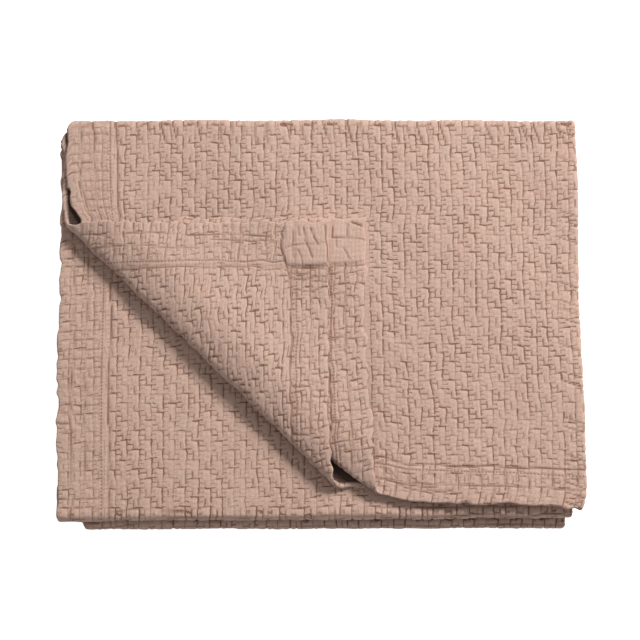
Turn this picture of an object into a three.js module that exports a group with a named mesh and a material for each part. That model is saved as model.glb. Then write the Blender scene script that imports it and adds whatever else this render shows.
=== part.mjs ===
// Folded bedspread of puffed basket-weave cloth.
// One sheet is doubled across its width, laid in five back-and-forth panels,
// and both layers of its top front left corner are turned back along a diagonal.
// Millimetres, +X to the right, +Y to the back, +Z up. The tables below are laid out about
// the middle of the stack, and the origin stands under the middle of the whole thing.
import * as THREE from "three";

// Cloth and stack
const cloth = 3.0; // thickness of the puffed double cloth
const pitch = 5.0; // from the middle of one layer to the middle of the next
const hemSwell = 0.4; // what a turned hem adds on each face
const crossingSwell = 0.4; // what the crossing of two hems adds besides
const seamDip = 0.35; // how deep the hem's seam draws each face in
const sideHem = 59; // width of the hems down the two long sides
const endHem = 43; // width of the hems across the two ends
const seamWidth = 5; // from the seam to the hem's full thickness

// Where the sheet turns, from its first end hem on the top of the stack down to its last.
// y: axis of the turn. upperLeft, lowerLeft: the side hems of the two layers.
// right: axis of the fold that doubles the sheet.
const turns = [
  { name: "first end hem", y: -229, upperLeft: -307, lowerLeft: -315, right: 308 },
  { name: "top back fold", y: 236.5, upperLeft: -309, lowerLeft: -315, right: 303 },
  { name: "upper front fold", y: -236, upperLeft: -310, lowerLeft: -313, right: 293.5 },
  { name: "lower back fold", y: 230, upperLeft: -313, lowerLeft: -309, right: 295 },
  { name: "lower front fold", y: -243, upperLeft: -308, lowerLeft: -312, right: 283.5 },
  { name: "last end hem", y: 214, upperLeft: -305, lowerLeft: -310, right: 288 },
];

// The first end hem isn't cut dead straight: y of the upper and the lower layer at each x.
const firstHem = [
  { x: -315, upper: -246, lower: -213 },
  { x: -98, upper: -236, lower: -211 },
  { x: 66, upper: -220, lower: -211 },
  { x: 108, upper: -228, lower: -215 },
  { x: 200, upper: -231, lower: -225 },
  { x: 312, upper: -236, lower: -236 },
];

// The turned corner: where its bend starts, how tight it is and how it comes to rest.
// on: place along the diagonal. start: from the origin to the bend's line, square to it.
// radius: of the upper layer, which lies inside, the lower one being wider by a pitch.
const bends = [
  { x: -300, start: 125.9, radius: 6 },
  { x: 0, start: 122.3, radius: 8 },
];
const overturn = THREE.MathUtils.degToRad(25); // how far past level the bend turns
const restBend = 25; // radius with which the upper layer levels out again
const slack = 18; // how far the upper layer's bend drifts inwards at its front end
const slackFrom = -60; // place along the diagonal where that drift starts
const slackOver = 266; // and the length that it takes

// Unevenness
const nose = { upperTilt: 0.0065, lowerTilt: 0.001, stepBack: 9, stepAt: -291, stepOver: 9 };
const swell = 1.5; // height of the soft swells in the top of the stack
const longSwell = { x: 83, y: 67, shiftX: 0.6, shiftY: 0.4 }; // their lengths and places
const shortSwell = { share: 0.5, x: 31, y: 44 };
const edgeWave = 1.3; // how far the long edges wander
const backCorner = { lag: 3.5, innerLag: 11, from: -315, to: -225 }; // folds short at the left
const frontCorner = { round: 5, reach: 0.06 }; // the first end hem's rounded right corner

// From the middle of the stack to the middle of the whole thing
const toMiddle = { x: 1.53, y: 3.22 };

// Steps of the mesh
const columns = [0, 0.045, 0.087, 0.0955, 0.2, 0.33, 0.46, 0.59, 0.72, 0.85, 1];
const foldSteps = 4; // steps round the fold that doubles the sheet
const turnSteps = 6; // steps round each back and front fold
const panelSteps = [0.03, 0.24, 0.5, 0.76, 0.97]; // rows across an under panel
const lastPanelSteps = [0.03, 0.24, 0.5, 0.76, 0.895, 0.905, 0.918, 1]; // with its end hem's seam
const bendSteps = 9; // steps over the turned corner's bend
const fullHem = sideHem - seamWidth;

const { lerp, clamp, smoothstep } = THREE.MathUtils;
const firstLayer = cloth / 2;
const halfPair = pitch / 2;
const foldRadius = pitch;
const topPanel = panelHeight(0);
const diagonal = Math.SQRT2;

// Height of the middle of a panel's two layers, 0 being the top one
function panelHeight(panel) {
  const below = turns.length - 2 - panel;
  return firstLayer + halfPair + 2 * pitch * below;
}

// Soft step through the rows of a table, from one x to the next
function follow(table, x, column) {
  const found = table.findIndex((row) => row.x > x);
  const next = found < 0 ? table.length - 1 : Math.max(found, 1);
  const from = table[next - 1];
  const to = table[next];
  return lerp(from[column], to[column], smoothstep(x, from.x, to.x));
}

// Soft unevenness of the stack: most on its top, and none at its foot, which lies flat
function settle(point) {
  const share = point.z / (topPanel + halfPair);
  const across = Math.sin(point.x / longSwell.x + longSwell.shiftX);
  const along = Math.sin(point.y / longSwell.y + longSwell.shiftY);
  const short = shortSwell.share * Math.sin(point.x / shortSwell.x + point.y / shortSwell.y);
  point.z = Math.max(0, point.z + swell * share * (across * along + short));
  return point;
}

// Place of a turn's axis at x: the back folds wander, the front ones slant and step back
function axisOf(turn, x, lift) {
  if (turn === 1 || turn === 3) {
    const atCorner = 1 - smoothstep(x, backCorner.from, backCorner.to);
    const lag = lift < 0 ? backCorner.innerLag : backCorner.lag;
    const wander = edgeWave * Math.sin(x / 37 + turn) * Math.cos(x / 91);
    return turns[turn].y + wander - lag * atCorner;
  }
  if (turn === 2) {
    return turns[turn].y + nose.upperTilt * x;
  }
  if (turn === 4) {
    const hidden = 1 - smoothstep(x, nose.stepAt - nose.stepOver, nose.stepAt + nose.stepOver);
    return turns[turn].y + nose.lowerTilt * x + nose.stepBack * hidden;
  }
  return turns[turn].y;
}

// Long edges and doubling fold of the sheet, part of the way along one panel
function edgesOf(panel, along) {
  const from = turns[panel];
  const to = turns[panel + 1];
  const wave = edgeWave * Math.sin(9 * along + 2 * panel);
  const atCorner = panel === 0 ? Math.max(0, 1 - along / frontCorner.reach) : 0;
  return {
    upperLeft: lerp(from.upperLeft, to.upperLeft, along) + 0.5 * wave,
    lowerLeft: lerp(from.lowerLeft, to.lowerLeft, along) - 0.5 * wave,
    right: lerp(from.right, to.right, along) + wave - frontCorner.round * atCorner ** 2,
  };
}

// Half of the cloth's thickness at a distance from its side hem's edge and its end hem's edge
function halfThickness(fromSide, fromEnd) {
  const inHem = (distance, width) => 1 - smoothstep(distance, width - seamWidth, width);
  const atSeam = (distance, width) => Math.max(0, 1 - Math.abs(distance - width) / seamWidth);
  const side = inHem(fromSide, sideHem);
  const end = inHem(fromEnd, endHem);
  const dip = seamDip * Math.max(atSeam(fromSide, sideHem), atSeam(fromEnd, endHem));
  return cloth / 2 + hemSwell * (side + end) + crossingSwell * side * end - dip;
}

// A point of the top panel: y at x on one layer, "along" going from the end hem to the back fold
function topY(layer, x, along) {
  const lift = layer === "upper" ? halfPair : -halfPair;
  return lerp(follow(firstHem, x, layer), axisOf(1, x, lift), along);
}

// How far along the top panel a place lies
function topAlong(layer, x, y) {
  const hem = topY(layer, x, 0);
  return (y - hem) / (topY(layer, x, 1) - hem);
}

// Diagonal coordinates: "out" towards the front left, "on" towards the front right
function toDiagonal(x, y) {
  return { out: -(x + y) / diagonal, on: (x - y) / diagonal };
}

function fromDiagonal(out, on) {
  return { x: (on - out) / diagonal, y: -(out + on) / diagonal };
}

// Line where a layer starts to bend over
function bendLine(layer, on) {
  const drift = clamp((on - slackFrom) / slackOver, 0, 1);
  const start = follow(bends, on, "start");
  return layer === "upper" ? start - slack * drift * drift : start;
}

// Bend of one layer: up and over by a little more than half a turn, down a slope, and level
function bendOf(layer, on) {
  const radius = follow(bends, on, "radius") + (layer === "upper" ? 0 : pitch);
  const rest = layer === "upper" ? pitch : 3 * pitch;
  const levelling = layer === "upper" ? restBend : restBend - pitch;
  const drop = radius * (1 + Math.cos(overturn)) - levelling * (1 - Math.cos(overturn)) - rest;
  const slope = drop / Math.sin(overturn);
  const arc = radius * (Math.PI + overturn);
  return { radius, levelling, slope, arc, length: arc + slope + levelling * overturn };
}

// Where a point lies that was "past" the bend's line, "inside" being towards the bend's middle
function overBend(bend, past, inside) {
  const { radius, levelling, slope, arc } = bend;
  const turned = Math.min(past, arc) / radius;
  const out = (radius - inside) * Math.sin(turned);
  const up = radius - (radius - inside) * Math.cos(turned);
  const down = clamp(past - arc, 0, slope);
  const easing = clamp(past - arc - slope, 0, levelling * overturn) / levelling;
  const level = Math.max(0, past - bend.length);
  const angle = overturn - easing;
  const reach = levelling + inside;
  return {
    out: out - down * Math.cos(overturn) - reach * (Math.sin(overturn) - Math.sin(angle)) - level,
    up: up - down * Math.sin(overturn) - reach * (Math.cos(angle) - Math.cos(overturn)),
  };
}

// One node of the sheet: its two faces, a little apart
function node(faceAt, thickness) {
  return { outer: settle(faceAt(thickness)), inner: settle(faceAt(-thickness)) };
}

// A node on one layer of the top panel, turned over where it lies past the bend's line
function topNode(layer, x, along) {
  const y = topY(layer, x, along);
  const up = layer === "upper" ? 1 : -1;
  const fromSide = x - edgesOf(0, along)[layer + "Left"];
  const fromEnd = y - follow(firstHem, x, layer);
  const { out, on } = toDiagonal(x, y);
  const line = bendLine(layer, on);
  const height = topPanel + up * halfPair;
  const faceAt = (lift) => {
    if (out <= line) {
      return new THREE.Vector3(x, y, height + up * lift);
    }
    const bent = overBend(bendOf(layer, on), out - line, up * lift);
    const place = fromDiagonal(line + bent.out, on);
    return new THREE.Vector3(place.x, place.y, height + bent.up);
  };
  return node(faceAt, halfThickness(fromSide, fromEnd));
}

// Place across the doubled sheet: its x, its lift off the pair's middle, and the way it faces
function acrossAt(edges, column) {
  const run = columns.length - 1;
  if (column <= run) {
    const x = lerp(edges.upperLeft, edges.right, columns[column]);
    return { x, lift: halfPair, side: x - edges.upperLeft, faceX: 0, faceLift: 1 };
  }
  if (column < run + foldSteps) {
    const angle = (Math.PI * (column - run)) / foldSteps;
    const faceX = Math.sin(angle);
    const faceLift = Math.cos(angle);
    const x = edges.right + halfPair * faceX;
    return { x, lift: halfPair * faceLift, side: Infinity, faceX, faceLift };
  }
  const back = columns[2 * run + foldSteps - column];
  const x = lerp(edges.lowerLeft, edges.right, back);
  return { x, lift: -halfPair, side: x - edges.lowerLeft, faceX: 0, faceLift: -1 };
}

// A node of the doubled sheet on a path seen from the side: y, z and the way the pair faces
function pairNode(across, path, fromEnd) {
  const faceAt = (offset) => {
    const lift = across.lift + offset * across.faceLift;
    const x = across.x + offset * across.faceX;
    return new THREE.Vector3(x, path.y + lift * path.faceY, path.z + lift * path.faceZ);
  };
  return node(faceAt, halfThickness(across.side, fromEnd));
}

const columnCount = 2 * (columns.length - 1) + foldSteps + 1;
const columnList = Array.from({ length: columnCount }, (unused, column) => column);

// A row round a back or front fold, "turned" going from 0 to half a turn
function foldRow(turn, turned) {
  const atBack = turn % 2 === 1;
  const centre = (panelHeight(turn - 1) + panelHeight(turn)) / 2;
  return columnList.map((column) => {
    const across = acrossAt(edgesOf(turn - 1, 1), column);
    const outward = atBack ? Math.sin(turned) : -Math.sin(turned);
    const path = {
      y: axisOf(turn, across.x, across.lift) + foldRadius * outward,
      z: centre + foldRadius * Math.cos(turned),
      faceY: Math.sin(turned),
      faceZ: atBack ? Math.cos(turned) : -Math.cos(turned),
    };
    return pairNode(across, path, Infinity);
  });
}

// A row across one of the under panels
function panelRow(panel, along) {
  return columnList.map((column) => {
    const across = acrossAt(edgesOf(panel, along), column);
    const { x, lift } = across;
    const y = lerp(axisOf(panel, x, lift), axisOf(panel + 1, x, lift), along);
    const faceZ = panel % 2 === 0 ? 1 : -1;
    const fromEnd = panel === turns.length - 2 ? turns.at(-1).y - y : Infinity;
    return pairNode(across, { y, z: panelHeight(panel), faceY: 0, faceZ }, fromEnd);
  });
}

// A row of the flat top panel: each layer runs from its own left end to the doubling fold
function topRow(left) {
  const run = columns.length - 1;
  const along = (left.upper.along + left.lower.along) / 2;
  const edges = edgesOf(0, along);
  return columnList.map((column) => {
    if (column > run && column < run + foldSteps) {
      const across = acrossAt(edges, column);
      const layer = across.lift > 0 ? "upper" : "lower";
      const y = topY(layer, across.x, along);
      const path = { y, z: topPanel, faceY: 0, faceZ: 1 };
      return pairNode(across, path, y - follow(firstHem, across.x, layer));
    }
    const layer = column <= run ? "upper" : "lower";
    const share = columns[column <= run ? column : 2 * run + foldSteps - column];
    const x = lerp(left[layer].x, edges.right, share);
    return topNode(layer, x, lerp(left[layer].along, along, share));
  });
}

// How far out a place over the bend lies, share going from the bend's line to its last end
function outOver(layer, on, share) {
  return bendLine(layer, on) + share * bendOf(layer, on).length;
}

// The two ends of a line over the bend on one layer: on the side hem and on the end hem
function bendEnds(layer, share) {
  const side = { x: turns[0][layer + "Left"], y: 0 };
  const end = { x: 0, y: turns[0].y };
  for (let pass = 0; pass < 12; pass += 1) {
    side.y = -diagonal * outOver(layer, toDiagonal(side.x, side.y).on, share) - side.x;
    side.x = edgesOf(0, topAlong(layer, side.x, side.y))[layer + "Left"];
    end.y = follow(firstHem, end.x, layer);
    end.x = -diagonal * outOver(layer, toDiagonal(end.x, end.y).on, share) - end.y;
  }
  return { side: toDiagonal(side.x, side.y).on, end: toDiagonal(end.x, end.y).on };
}

// Shares of the bend's length where rows start, with the hems' seams among them
function bendShares() {
  const reachAt = (share) => {
    const ends = bendEnds("upper", share);
    return (ends.end - ends.side) / diagonal;
  };
  const onFlap = reachAt(1);
  const onPanel = reachAt(0);
  const seams = [
    fullHem / onFlap,
    sideHem / onFlap,
    1 - endHem / onFlap,
    1 - (endHem - seamWidth) / onFlap,
    1 - endHem / onPanel,
    1 - (endHem - seamWidth) / onPanel,
  ];
  return [0, 0.09, ...seams, 0.29, 0.39, 0.49, 0.59, 0.69, 0.78, 0.95, 1].sort((a, b) => a - b);
}

// Left ends of the turned rows: where each meets the bend's line on both layers
function turnedLefts(shares) {
  return shares.map((share) => {
    const left = {};
    for (const layer of ["upper", "lower"]) {
      const ends = bendEnds(layer, 0);
      const on = lerp(ends.side, ends.end, share);
      const { x, y } = fromDiagonal(bendLine(layer, on), on);
      left[layer] = { x, along: topAlong(layer, x, y) };
    }
    return left;
  });
}

// Left ends of the rows behind the turned corner
function straightLefts(corner) {
  return [0.22, 0.42, 0.62, 0.8, 0.93, 1].map((share) => {
    const left = {};
    for (const layer of ["upper", "lower"]) {
      const along = lerp(corner[layer].along, 1, share);
      left[layer] = { x: edgesOf(0, along)[layer + "Left"], along };
    }
    return left;
  });
}

// A mesh of nodes and faces that grows row by row
function newSheet() {
  return { nodes: [], faces: [] };
}

function addNode(sheet, entry) {
  sheet.nodes.push(entry);
  return sheet.nodes.length - 1;
}

function addQuad(sheet, a, b, c, d) {
  sheet.faces.push([a, b, c], [a, c, d]);
}

// Faces between neighbouring rows of node numbers
function weaveRows(sheet, rows) {
  for (let row = 1; row < rows.length; row += 1) {
    for (let column = 1; column < rows[row].length; column += 1) {
      const before = rows[row - 1];
      const now = rows[row];
      addQuad(sheet, before[column - 1], before[column], now[column], now[column - 1]);
    }
  }
}

// The part of one layer that lies past the bend's line, joined to the rows' left ends
function addFlap(sheet, layer, shares, firstNodes) {
  const mirrored = layer === "lower";
  let before = firstNodes;
  let line = [];
  for (let step = 1; step <= bendSteps; step += 1) {
    const ends = bendEnds(layer, step / bendSteps);
    line = shares.map((share) => {
      const on = lerp(ends.side, ends.end, share);
      const { x, y } = fromDiagonal(outOver(layer, on, step / bendSteps), on);
      return { x, along: clamp(topAlong(layer, x, y), 0, 1) };
    });
    const now = line.map((place) => addNode(sheet, topNode(layer, place.x, place.along)));
    weaveRows(sheet, mirrored ? [before, now] : [now, before]);
    before = now;
  }
  addCorner(sheet, layer, line, before, mirrored);
}

// The level corner of a flap: a triangle of cells in line with the cloth's two hems
function addCorner(sheet, layer, line, slantNodes, mirrored) {
  const last = line.length - 1;
  const numbers = slantNodes.map((start, row) => {
    const cells = [];
    cells[row] = start;
    return cells;
  });
  for (let row = 1; row <= last; row += 1) {
    for (let column = 0; column < row; column += 1) {
      const along = row === last ? 0 : line[row].along;
      const x = column === 0 ? edgesOf(0, along)[layer + "Left"] : line[column].x;
      numbers[row][column] = addNode(sheet, topNode(layer, x, along));
    }
  }
  const face = (a, b, c) => sheet.faces.push(mirrored ? [a, c, b] : [a, b, c]);
  for (let row = 1; row <= last; row += 1) {
    for (let column = 0; column < row; column += 1) {
      face(numbers[row][column], numbers[row][column + 1], numbers[row - 1][column]);
      if (column < row - 1) {
        face(numbers[row][column + 1], numbers[row - 1][column + 1], numbers[row - 1][column]);
      }
    }
  }
}

// Every row of the sheet, from the first end hem to the last
function sheetRows(shares) {
  const turnedRows = turnedLefts(shares).reverse();
  const topRows = [...turnedRows, ...straightLefts(turnedRows.at(-1))].map(topRow);
  const rows = [...topRows];
  for (let turn = 1; turn < turns.length - 1; turn += 1) {
    for (let step = 1; step < turnSteps; step += 1) {
      rows.push(foldRow(turn, (Math.PI * step) / turnSteps));
    }
    const steps = turn === turns.length - 2 ? lastPanelSteps : panelSteps;
    rows.push(...steps.map((along) => panelRow(turn, along)));
  }
  return rows;
}

// A closed body from the sheet's two faces and the rim round its edge
function thicken(sheet) {
  const count = sheet.nodes.length;
  const corners = [];
  const edges = new Map();
  for (const [a, b, c] of sheet.faces) {
    corners.push(a, b, c, a + count, c + count, b + count);
    for (const [from, to] of [[a, b], [b, c], [c, a]]) {
      edges.set(`${from} ${to}`, [from, to]);
    }
  }
  for (const [from, to] of edges.values()) {
    if (!edges.has(`${to} ${from}`)) {
      corners.push(to, from, from + count, to, from + count, to + count);
    }
  }
  const points = [...sheet.nodes.map((entry) => entry.outer), ...sheet.nodes.map((entry) => entry.inner)];
  const geometry = new THREE.BufferGeometry().setFromPoints(points);
  geometry.setIndex(corners);
  geometry.computeVertexNormals();
  return geometry;
}

// The whole bedspread as one body
function makeBedspread() {
  const sheet = newSheet();
  const shares = bendShares();
  const rows = sheetRows(shares).map((row) => row.map((entry) => addNode(sheet, entry)));
  weaveRows(sheet, rows);
  const turnedRows = rows.slice(0, shares.length).reverse();
  addFlap(sheet, "upper", shares, turnedRows.map((row) => row[0]));
  addFlap(sheet, "lower", shares, turnedRows.map((row) => row.at(-1)));
  return thicken(sheet);
}

function dustyPinkCotton() {
  return new THREE.MeshStandardMaterial({ color: 0xcba898, roughness: 0.95, metalness: 0 });
}

const bedspread = new THREE.Mesh(makeBedspread(), dustyPinkCotton());
bedspread.name = "folded_bedspread";
bedspread.position.set(toMiddle.x, toMiddle.y, 0);

const part = new THREE.Group();
part.add(bedspread);
export default part;
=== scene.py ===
"""Folded bedspread: one sheet of puffed basket-weave cotton, doubled, laid back and forth in
five panels, with both layers of its top front left corner turned back along a diagonal.

The sheet is made as closed leaves that meet where nothing shows: the upper leaf, the lower
leaf and the folds under them. Lengths are millimetres until a mesh or a light is made, and
places are in the part's frame."""
import math
from collections import namedtuple

import bpy
import numpy as np
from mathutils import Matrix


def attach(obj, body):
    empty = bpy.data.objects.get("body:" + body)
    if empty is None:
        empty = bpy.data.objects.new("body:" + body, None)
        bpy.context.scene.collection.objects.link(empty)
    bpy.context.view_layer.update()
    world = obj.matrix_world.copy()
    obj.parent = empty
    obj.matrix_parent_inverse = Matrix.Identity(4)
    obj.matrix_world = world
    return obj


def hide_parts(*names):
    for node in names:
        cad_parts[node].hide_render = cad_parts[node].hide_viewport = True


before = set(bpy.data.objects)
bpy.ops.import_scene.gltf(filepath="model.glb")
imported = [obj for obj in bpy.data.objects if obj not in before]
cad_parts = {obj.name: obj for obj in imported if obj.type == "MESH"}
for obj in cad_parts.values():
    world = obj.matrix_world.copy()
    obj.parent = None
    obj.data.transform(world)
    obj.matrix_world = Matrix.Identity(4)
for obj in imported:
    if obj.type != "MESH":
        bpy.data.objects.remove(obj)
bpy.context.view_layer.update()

bl_info = {
    "name": "Folded bedspread",
    "version": (1, 0, 0),
    "blender": (4, 5, 0),
    "location": "View3D > Sidebar > Bedspread",
    "description": "Builds a folded bedspread of puffed basket-weave cotton around its solid",
    "category": "Add Mesh",
}

MM = 0.001
NODE = "folded_bedspread"

# The stack, as in the solid. Each turn has its axis' y and the ends of both layers in x
Turn = namedtuple("Turn", "name y upper_left lower_left right")
TURNS = [
    Turn("first end hem", -229, -307, -315, 308),
    Turn("top back fold", 236.5, -309, -315, 303),
    Turn("upper front fold", -236, -310, -313, 293.5),
    Turn("lower back fold", 230, -313, -309, 295),
    Turn("lower front fold", -243, -308, -312, 283.5),
    Turn("last end hem", 214, -305, -310, 288),
]
HemPlace = namedtuple("HemPlace", "x upper lower")
FIRST_HEM = [
    HemPlace(-315, -241.6, -209),
    HemPlace(-98, -231.6, -207),
    HemPlace(66, -220, -211),
    HemPlace(108, -228, -215),
    HemPlace(200, -231, -225),
    HemPlace(312, -236, -236),
]

# Cloth: its thickness, the pitch of the layers, and what a hem adds
CLOTH = 3.0
PITCH = 5.0
HALF_PAIR = PITCH / 2
FOLD_RADIUS = PITCH
HEM_SWELL = 0.4
CROSSING_SWELL = 0.4
SEAM_DIP = 0.35
SIDE_HEM = 59
END_HEM = 43
SEAM_WIDTH = 5
THINNEST = 0.35
TOP_PANEL = CLOTH / 2 + HALF_PAIR + 8 * PITCH
TO_MIDDLE = (1.53, 3.22)
DIAGONAL = math.sqrt(2)

# Turned corner: a tight edge along the bend's line, a wide swell over it, a low slope and a
# hollow foot. The upper layer's line lags more and more towards the front
Bend = namedtuple("Bend", "x start radius")
BENDS = [Bend(-300, 129.4, 2.5), Bend(0, 127.1, 3.2)]
RISE = math.radians(25)
FALL = math.radians(6)
BULGE = 95
FOOT = 60
LAG = {"most": 25, "from": -60, "over": 266}
BEND_RIPPLE = {"high": 0.9, "long": 12, "seed": 73}
UPPER_EDGE = {"in": 18, "from": 352, "fades_over": 22, "reach": 80, "none_at": 200, "full_at": 300}
LOWER_EDGE = {"in": 3.7, "over": 30}

# Raised square where the hems cross on the turned corner
CROSSING = {"rise": 1.2, "end": 50, "bow": 4, "side": 55, "soft": 3.5}

# Folds and free edges: how squarely the folds turn, their uneven corners and their waves
BOXINESS = 0.6
SWELL = {"high": 1.5, "x": 83, "y": 67, "small_x": 31, "small_y": 44}
EDGE_WAVE = {"high": 1.3, "x": 37, "long_x": 91, "turns": 9}
NOSE = {"upper_tilt": 0.0065, "lower_tilt": 0.001, "step_back": 9, "step_at": -282, "step_over": 2.5}
BACK_CORNER = {"lag": 3.5, "inner_lag": 11, "from": -315, "to": -225}
FRONT_CORNER = {"round": 5, "reach": 0.06}
BACK_ROUND = 9
FRONT_ROUND = 3.5
EDGE_RIPPLE = {"high": 2.0, "reach": 14, "side_long": 9, "side_seed": 71, "end_long": 10, "end_seed": 72}

# The flat sheet that the leaves are laid out on: "across" runs from the upper layer's side hem
# over the doubling fold to the lower layer's, and "along" from the first end hem to the last
WIDTH = 615.0
SIDE_ARC = math.pi * HALF_PAIR
ACROSS = 2 * WIDTH + SIDE_ARC
PANEL = 465.0
END_ARC = math.pi * FOLD_RADIUS

# One repeat of the weave, and the mesh steps that share it out
REPEAT_X = 28.3
REPEAT_Y = 22.7
STEP_X = REPEAT_X / 16
STEP_Y = REPEAT_Y / 13
UNDER_STEP_X = REPEAT_X / 13.5
UNDER_STEP_Y = REPEAT_Y / 10.7

# Creases of one repeat, from the corner of its hook. x to the right and y down.
# long: half of its length. deep: how deep it is against the hook. way: "across" or "down".
Mark = namedtuple("Mark", "name way x y long deep")
WEAVE = [
    Mark("hook across", "across", -4.4, 0.0, 4.6, 0.92),
    Mark("hook down", "down", 0.0, 3.2, 4.4, 0.9),
    Mark("tail of the hook", "down", 0.0, 13.4, 6.0, 0.68),
    Mark("rung", "across", 4.4, 5.4, 3.8, 0.66),
    Mark("far rung", "across", 16.2, 5.1, 3.2, 0.5),
    Mark("before the hook", "across", -12.4, 0.6, 2.6, 0.5),
    Mark("past the hook", "across", 3.4, -0.4, 2.6, 0.66),
    Mark("riser", "down", -6.6, -4.7, 4.2, 0.55),
]


def smooth(value, start, stop):
    share = np.clip((value - start) / (stop - start), 0.0, 1.0)
    return share * share * (3 - 2 * share)


def mix(a, b, share):
    return a + (b - a) * share


def follow(table, x, column):
    """Soft step through the rows of a table, from one x to the next."""
    places = np.array([row.x for row in table], float)
    values = np.array([getattr(row, column) for row in table], float)
    after = np.clip(np.searchsorted(places, x, side="right"), 1, len(places) - 1)
    share = smooth(x, places[after - 1], places[after])
    return mix(values[after - 1], values[after], share)


def soft_noise(x, y, seed):
    """Smooth noise from -1 to 1 with a cell for each unit of x and y."""
    size = 64
    table = np.random.default_rng(seed).uniform(-1, 1, (size, size))
    x, y = np.broadcast_arrays(np.asarray(x, float), np.asarray(y, float))
    left = np.floor(x).astype(int)
    low = np.floor(y).astype(int)
    share_x = smooth(x - left, 0, 1)
    share_y = smooth(y - low, 0, 1)

    def at(i, j):
        return table[i % size, j % size]

    lower = mix(at(left, low), at(left + 1, low), share_x)
    upper = mix(at(left, low + 1), at(left + 1, low + 1), share_x)
    return mix(lower, upper, share_y)


# Strength of a crease that noise changes. usual: in the middle of its range. change: by how much
Strength = namedtuple("Strength", "usual change least most")
WEAVE_STRENGTH = Strength(0.85, 1.0, 0.15, 1.3)
LINE_STRENGTH = Strength(0.85, 0.8, 0.2, 1.2)
RUNG_STRENGTH = Strength(0.75, 0.9, 0, 1.1)
SIDE_PUCKER_STRENGTH = Strength(0.35, 1.0, 0, 1)
BACK_PUCKER_STRENGTH = Strength(0.5, 0.9, 0, 1)
NOSE_STRENGTH = Strength(0.1, 0.9, 0, 1)


def changed(strength, noise, more=0.0):
    return np.clip(strength.usual + more + strength.change * noise, strength.least, strength.most)


# Unevenness in patches. across and along: size of a patch. share: the most that it adds
Patches = namedtuple("Patches", "across along seed share")
DRIFT_RIGHT = [Patches(33, 37, 11, 0.06), Patches(10, 11, 12, 0.04)]
DRIFT_DOWN = [Patches(35, 31, 13, 0.065), Patches(11, 9, 14, 0.045)]
ACROSS_STRENGTH = [Patches(12, 9, 15, 0.75)]
DOWN_STRENGTH = [Patches(11, 12, 16, 0.75)]
SWELLINGS = [Patches(18, 17, 17, 0.3), Patches(47, 41, 18, 0.3)]


def uneven(patches, across, along):
    found = 0 * across
    for one in patches:
        found = found + one.share * soft_noise(across / one.across, along / one.along, one.seed)
    return found


def settle(points):
    """Soft unevenness of the stack: most on its top, and none at its foot."""
    x, y, z = points[..., 0], points[..., 1], points[..., 2]
    share = z / (TOP_PANEL + HALF_PAIR)
    waves = np.sin(x / SWELL["x"] + 0.6) * np.sin(y / SWELL["y"] + 0.4)
    waves = waves + 0.5 * np.sin(x / SWELL["small_x"] + y / SWELL["small_y"])
    points[..., 2] = np.maximum(0, z + SWELL["high"] * share * waves)
    return points


def axis_of(turn, x, lift):
    """Place of a turn's axis at x: the back folds wander, the front ones slant and step back."""
    y = TURNS[turn].y
    left = np.where(lift < 0, TURNS[turn].lower_left, TURNS[turn].upper_left)
    if turn in (1, 3):
        at_corner = 1 - smooth(x, BACK_CORNER["from"], BACK_CORNER["to"])
        lag = np.where(lift < 0, BACK_CORNER["inner_lag"], BACK_CORNER["lag"])
        wave = np.sin(x / EDGE_WAVE["x"] + turn) * np.cos(x / EDGE_WAVE["long_x"])
        y = y + EDGE_WAVE["high"] * wave - lag * at_corner
        return y - BACK_ROUND * np.clip(1 - (x - left) / BACK_ROUND, 0, 1) ** 2
    y = y + FRONT_ROUND * np.clip(1 - (x - left) / FRONT_ROUND, 0, 1) ** 2
    if turn == 2:
        return y + NOSE["upper_tilt"] * x
    if turn == 4:
        start = NOSE["step_at"] - NOSE["step_over"]
        stop = NOSE["step_at"] + NOSE["step_over"]
        return y + NOSE["lower_tilt"] * x + NOSE["step_back"] * (1 - smooth(x, start, stop))
    return y + 0 * x


def edges_of(panel, share):
    """Left edges of both layers and the doubling fold, part of the way along one panel."""
    start, stop = TURNS[panel], TURNS[panel + 1]
    wave = EDGE_WAVE["high"] * np.sin(EDGE_WAVE["turns"] * share + 2 * panel)
    corner = np.clip(1 - share / FRONT_CORNER["reach"], 0, 1) if panel == 0 else 0.0
    return (
        mix(start.upper_left, stop.upper_left, share) + 0.5 * wave,
        mix(start.lower_left, stop.lower_left, share) - 0.5 * wave,
        mix(start.right, stop.right, share) + wave - FRONT_CORNER["round"] * corner**2,
    )


def panel_height(panel):
    return CLOTH / 2 + HALF_PAIR + 2 * PITCH * (4 - panel)


def half_thickness(side, end):
    """Half of the cloth's thickness at its distances from the side hem's and end hem's edges."""
    in_side = 1 - smooth(side, SIDE_HEM - SEAM_WIDTH, SIDE_HEM)
    in_end = 1 - smooth(end, END_HEM - SEAM_WIDTH, END_HEM)
    at_side = np.maximum(0, 1 - np.abs(side - SIDE_HEM) / SEAM_WIDTH)
    at_end = np.maximum(0, 1 - np.abs(end - END_HEM) / SEAM_WIDTH)
    swell = HEM_SWELL * (in_side + in_end) + CROSSING_SWELL * in_side * in_end
    return CLOTH / 2 + swell - SEAM_DIP * np.maximum(at_side, at_end)


def boxy(value):
    """A sine or cosine drawn out, so that a fold is flatter above and sharper at its corners."""
    return np.sign(value) * np.abs(value) ** BOXINESS


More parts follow.
